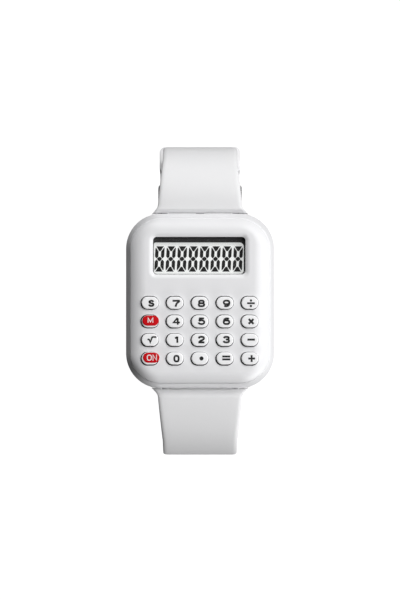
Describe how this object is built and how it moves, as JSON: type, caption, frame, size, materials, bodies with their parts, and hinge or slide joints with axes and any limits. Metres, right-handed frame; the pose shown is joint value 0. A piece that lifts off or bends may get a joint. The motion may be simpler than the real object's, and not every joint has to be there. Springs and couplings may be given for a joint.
{
  "type": "calculator watch",
  "caption": "Calculator wristwatch with a soft rounded case, a small digit display, pill keys and a curved strap with a pin buckle.",
  "frame": {"origin": "centre of the flat case back", "axes": "+Z out of the dial, +Y towards twelve o'clock, +X towards three o'clock"},
  "size_m": [0.0398, 0.0869, 0.0654],
  "materials": {
    "white_case": "satin moulded",
    "white_key": "glossy moulded",
    "red_key": "glossy printed top",
    "strap_silicone": "matte moulded",
    "black_frame": "matte",
    "clear_window": "clear",
    "display_glass": "grey",
    "display_ink": "flat",
    "foam": "open cell",
    "contact_rubber": "carbon filled",
    "mat_rubber": "translucent",
    "board": "glass epoxy",
    "epoxy": "potting",
    "can_metal": "drawn",
    "cell_steel": "polished",
    "contact_metal": "plated",
    "ceramic_chip": "fired",
    "screw_steel": "turned",
    "buckle_steel": "brushed",
    "seal_rubber": "matte"
  },
  "bodies": {
    "case": {"rear_shell": "white_case", "front_shell": "white_case", "case_seal": "seal_rubber", "display_window": "clear_window", "display_bezel": "black_frame", "lcd_front_glass": "display_glass", "lcd_rear_glass": "display_glass", "lcd_segments": "display_ink", "lcd_cushion": "foam", "zebra_strip": "contact_rubber", "circuit_board": "board", "board_contacts": "contact_rubber", "key_mat": "mat_rubber", "dome_pills": "contact_rubber", "chip_cover": "epoxy", "timing_crystal": "can_metal", "board_capacitors": "ceramic_chip", "coin_cell": "cell_steel", "battery_spring": "contact_metal", "battery_clip": "contact_metal", "battery_door": "white_case", "battery_door_screw": "screw_steel", "case_screws": "screw_steel", "board_screws": "screw_steel", "spring_bar_upper": "screw_steel", "spring_bar_lower": "screw_steel", "spring_bar_tips": "screw_steel"},
    "upper_strap": {"strap_upper": "strap_silicone", "keeper_fixed": "strap_silicone"},
    "loop": {"keeper_free": "strap_silicone"},
    "buckle": {"buckle_frame": "buckle_steel", "buckle_bar": "buckle_steel"},
    "tongue": {"buckle_tongue": "buckle_steel"},
    "lower_strap": {"strap_lower": "strap_silicone"},
    "key_s_body": {"key_s": "white_key"},
    "key_7_body": {"key_7": "white_key"},
    "key_8_body": {"key_8": "white_key"},
    "key_9_body": {"key_9": "white_key"},
    "key_divide_body": {"key_divide": "white_key"},
    "key_m_body": {"key_m": "red_key"},
    "key_4_body": {"key_4": "white_key"},
    "key_5_body": {"key_5": "white_key"},
    "key_6_body": {"key_6": "white_key"},
    "key_multiply_body": {"key_multiply": "white_key"},
    "key_root_body": {"key_root": "white_key"},
    "key_1_body": {"key_1": "white_key"},
    "key_2_body": {"key_2": "white_key"},
    "key_3_body": {"key_3": "white_key"},
    "key_minus_body": {"key_minus": "white_key"},
    "key_on_body": {"key_on": "red_key"},
    "key_0_body": {"key_0": "white_key"},
    "key_point_body": {"key_point": "white_key"},
    "key_equals_body": {"key_equals": "white_key"},
    "key_plus_body": {"key_plus": "white_key"}
  },
  "joints": [
    {"name": "key_s_press", "type": "slide", "parent": "case", "child": "key_s_body", "axis": [0, 0, -1], "range_m": [0, 0.0004], "stiffness_N_per_m": 300},
    {"name": "key_7_press", "type": "slide", "parent": "case", "child": "key_7_body", "axis": [0, 0, -1], "range_m": [0, 0.0004], "stiffness_N_per_m": 300},
    {"name": "key_8_press", "type": "slide", "parent": "case", "child": "key_8_body", "axis": [0, 0, -1], "range_m": [0, 0.0004], "stiffness_N_per_m": 300},
    {"name": "key_9_press", "type": "slide", "parent": "case", "child": "key_9_body", "axis": [0, 0, -1], "range_m": [0, 0.0004], "stiffness_N_per_m": 300},
    {"name": "key_divide_press", "type": "slide", "parent": "case", "child": "key_divide_body", "axis": [0, 0, -1], "range_m": [0, 0.0004], "stiffness_N_per_m": 300},
    {"name": "key_m_press", "type": "slide", "parent": "case", "child": "key_m_body", "axis": [0, 0, -1], "range_m": [0, 0.0004], "stiffness_N_per_m": 300},
    {"name": "key_4_press", "type": "slide", "parent": "case", "child": "key_4_body", "axis": [0, 0, -1], "range_m": [0, 0.0004], "stiffness_N_per_m": 300},
    {"name": "key_5_press", "type": "slide", "parent": "case", "child": "key_5_body", "axis": [0, 0, -1], "range_m": [0, 0.0004], "stiffness_N_per_m": 300},
    {"name": "key_6_press", "type": "slide", "parent": "case", "child": "key_6_body", "axis": [0, 0, -1], "range_m": [0, 0.0004], "stiffness_N_per_m": 300},
    {"name": "key_multiply_press", "type": "slide", "parent": "case", "child": "key_multiply_body", "axis": [0, 0, -1], "range_m": [0, 0.0004], "stiffness_N_per_m": 300},
    {"name": "key_root_press", "type": "slide", "parent": "case", "child": "key_root_body", "axis": [0, 0, -1], "range_m": [0, 0.0004], "stiffness_N_per_m": 300},
    {"name": "key_1_press", "type": "slide", "parent": "case", "child": "key_1_body", "axis": [0, 0, -1], "range_m": [0, 0.0004], "stiffness_N_per_m": 300},
    {"name": "key_2_press", "type": "slide", "parent": "case", "child": "key_2_body", "axis": [0, 0, -1], "range_m": [0, 0.0004], "stiffness_N_per_m": 300},
    {"name": "key_3_press", "type": "slide", "parent": "case", "child": "key_3_body", "axis": [0, 0, -1], "range_m": [0, 0.0004], "stiffness_N_per_m": 300},
    {"name": "key_minus_press", "type": "slide", "parent": "case", "child": "key_minus_body", "axis": [0, 0, -1], "range_m": [0, 0.0004], "stiffness_N_per_m": 300},
    {"name": "key_on_press", "type": "slide", "parent": "case", "child": "key_on_body", "axis": [0, 0, -1], "range_m": [0, 0.0004], "stiffness_N_per_m": 300},
    {"name": "key_0_press", "type": "slide", "parent": "case", "child": "key_0_body", "axis": [0, 0, -1], "range_m": [0, 0.0004], "stiffness_N_per_m": 300},
    {"name": "key_point_press", "type": "slide", "parent": "case", "child": "key_point_body", "axis": [0, 0, -1], "range_m": [0, 0.0004], "stiffness_N_per_m": 300},
    {"name": "key_equals_press", "type": "slide", "parent": "case", "child": "key_equals_body", "axis": [0, 0, -1], "range_m": [0, 0.0004], "stiffness_N_per_m": 300},
    {"name": "key_plus_press", "type": "slide", "parent": "case", "child": "key_plus_body", "axis": [0, 0, -1], "range_m": [0, 0.0004], "stiffness_N_per_m": 300},
    {"name": "upper_strap_swing", "type": "hinge", "parent": "case", "child": "upper_strap", "pos_m": [0, 0.0262, 0.0033], "axis": [1, 0, 0], "range_deg": [-5, 10]},
    {"name": "lower_strap_swing", "type": "hinge", "parent": "case", "child": "lower_strap", "pos_m": [0, -0.0262, 0.0033], "axis": [-1, 0, 0], "range_deg": [-5, 10]},
    {"name": "buckle_swing", "type": "hinge", "parent": "upper_strap", "child": "buckle", "pos_m": [0, 0.03328, -0.05223], "axis": [-1, 0, 0], "range_deg": [-60, 5]},
    {"name": "tongue_swing", "type": "hinge", "parent": "buckle", "child": "tongue", "pos_m": [0, 0.03328, -0.05223], "axis": [-1, 0, 0], "range_deg": [0, 70]},
    {"name": "loop_slide", "type": "slide", "parent": "upper_strap", "child": "loop", "axis": [0, 0.2147, 0.9767], "range_m": [-0.002, 0.003]}
  ]
}
